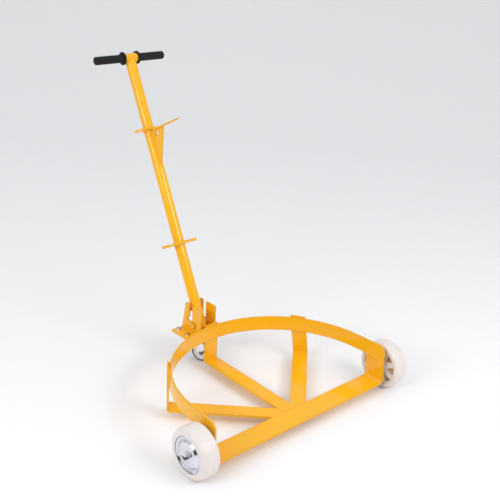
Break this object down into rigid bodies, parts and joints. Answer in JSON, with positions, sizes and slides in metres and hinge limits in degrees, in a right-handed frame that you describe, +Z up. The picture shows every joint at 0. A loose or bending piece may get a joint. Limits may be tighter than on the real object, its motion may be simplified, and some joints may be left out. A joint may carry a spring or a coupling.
{
  "type": "drum trolley",
  "caption": "Low drum trolley: half-ring frame of flat steel on plain front wheels and a swivel rear caster, pulled and steered by a hinged tubular T-handle.",
  "frame": {"origin": "on the floor, under the middle of the whole trolley's bounding box with the handle leaning on its stop", "axes": "+X to the right wheel, +Y from the open front to the handle, +Z up"},
  "size_m": [0.778, 0.8786, 0.8721],
  "materials": {
    "yellow_paint": "glossy powder coat",
    "white_nylon": "satin moulded nylon",
    "bright_cover": "bright pressed sheet",
    "zinc": "zinc plated",
    "grip_rubber": "moulded",
    "grey_plastic": "moulded",
    "dark_rubber": "moulded tread"
  },
  "bodies": {
    "frame": {"ring_band": "yellow_paint", "front_bar": "yellow_paint", "middle_strap": "yellow_paint", "left_strap": "yellow_paint", "right_strap": "yellow_paint", "rear_plate": "yellow_paint", "left_ear": "yellow_paint", "right_ear": "yellow_paint", "handle_rest": "yellow_paint", "pivot_bolt": "yellow_paint", "pivot_nut": "yellow_paint", "pivot_washers": "yellow_paint", "left_axle_stud": "zinc", "left_axle_spacer": "zinc", "left_axle_washer": "zinc", "left_axle_nut": "zinc", "right_axle_stud": "zinc", "right_axle_spacer": "zinc", "right_axle_washer": "zinc", "right_axle_nut": "zinc", "caster_plate": "zinc", "kingpin": "zinc", "kingpin_nut": "zinc", "caster_bolts": "zinc", "caster_nuts": "zinc"},
    "left_wheel": {"left_wheel": "white_nylon", "left_wheel_bush": "zinc", "left_hub_cover": "bright_cover"},
    "right_wheel": {"right_wheel": "white_nylon", "right_wheel_bush": "zinc", "right_hub_cover": "bright_cover"},
    "caster_fork": {"caster_fork": "zinc", "swivel_balls": "zinc", "caster_sleeve": "zinc", "caster_axle_bolt": "zinc", "caster_axle_nut": "zinc"},
    "caster_wheel": {"caster_wheel": "grey_plastic", "caster_tyre": "dark_rubber", "caster_bush": "zinc"},
    "handle": {"handle_tube": "yellow_paint", "pivot_sleeve": "zinc", "grip_hub": "yellow_paint", "grip_bar": "zinc", "left_grip": "grip_rubber", "right_grip": "grip_rubber", "hook_collar": "yellow_paint", "rest_collar": "yellow_paint", "hook_gusset": "yellow_paint", "hook_horn": "yellow_paint"}
  },
  "joints": [
    {"name": "left_wheel_spin", "type": "hinge", "parent": "frame", "child": "left_wheel", "pos_m": [-0.353, -0.37034, 0.069], "axis": [1, 0, 0], "continuous": true},
    {"name": "right_wheel_spin", "type": "hinge", "parent": "frame", "child": "right_wheel", "pos_m": [0.353, -0.37034, 0.069], "axis": [1, 0, 0], "continuous": true},
    {"name": "caster_swivel", "type": "hinge", "parent": "frame", "child": "caster_fork", "pos_m": [0, 0.07716, 0.09], "axis": [0, 0, 1], "continuous": true},
    {"name": "caster_wheel_spin", "type": "hinge", "parent": "caster_fork", "child": "caster_wheel", "pos_m": [0.01549, 0.05504, 0.0315], "axis": [-0.8192, -0.5736, 0], "continuous": true},
    {"name": "handle_tilt", "type": "hinge", "parent": "frame", "child": "handle", "pos_m": [0, 0.05216, 0.1305], "axis": [1, 0, 0], "range_deg": [0, 75]}
  ]
}
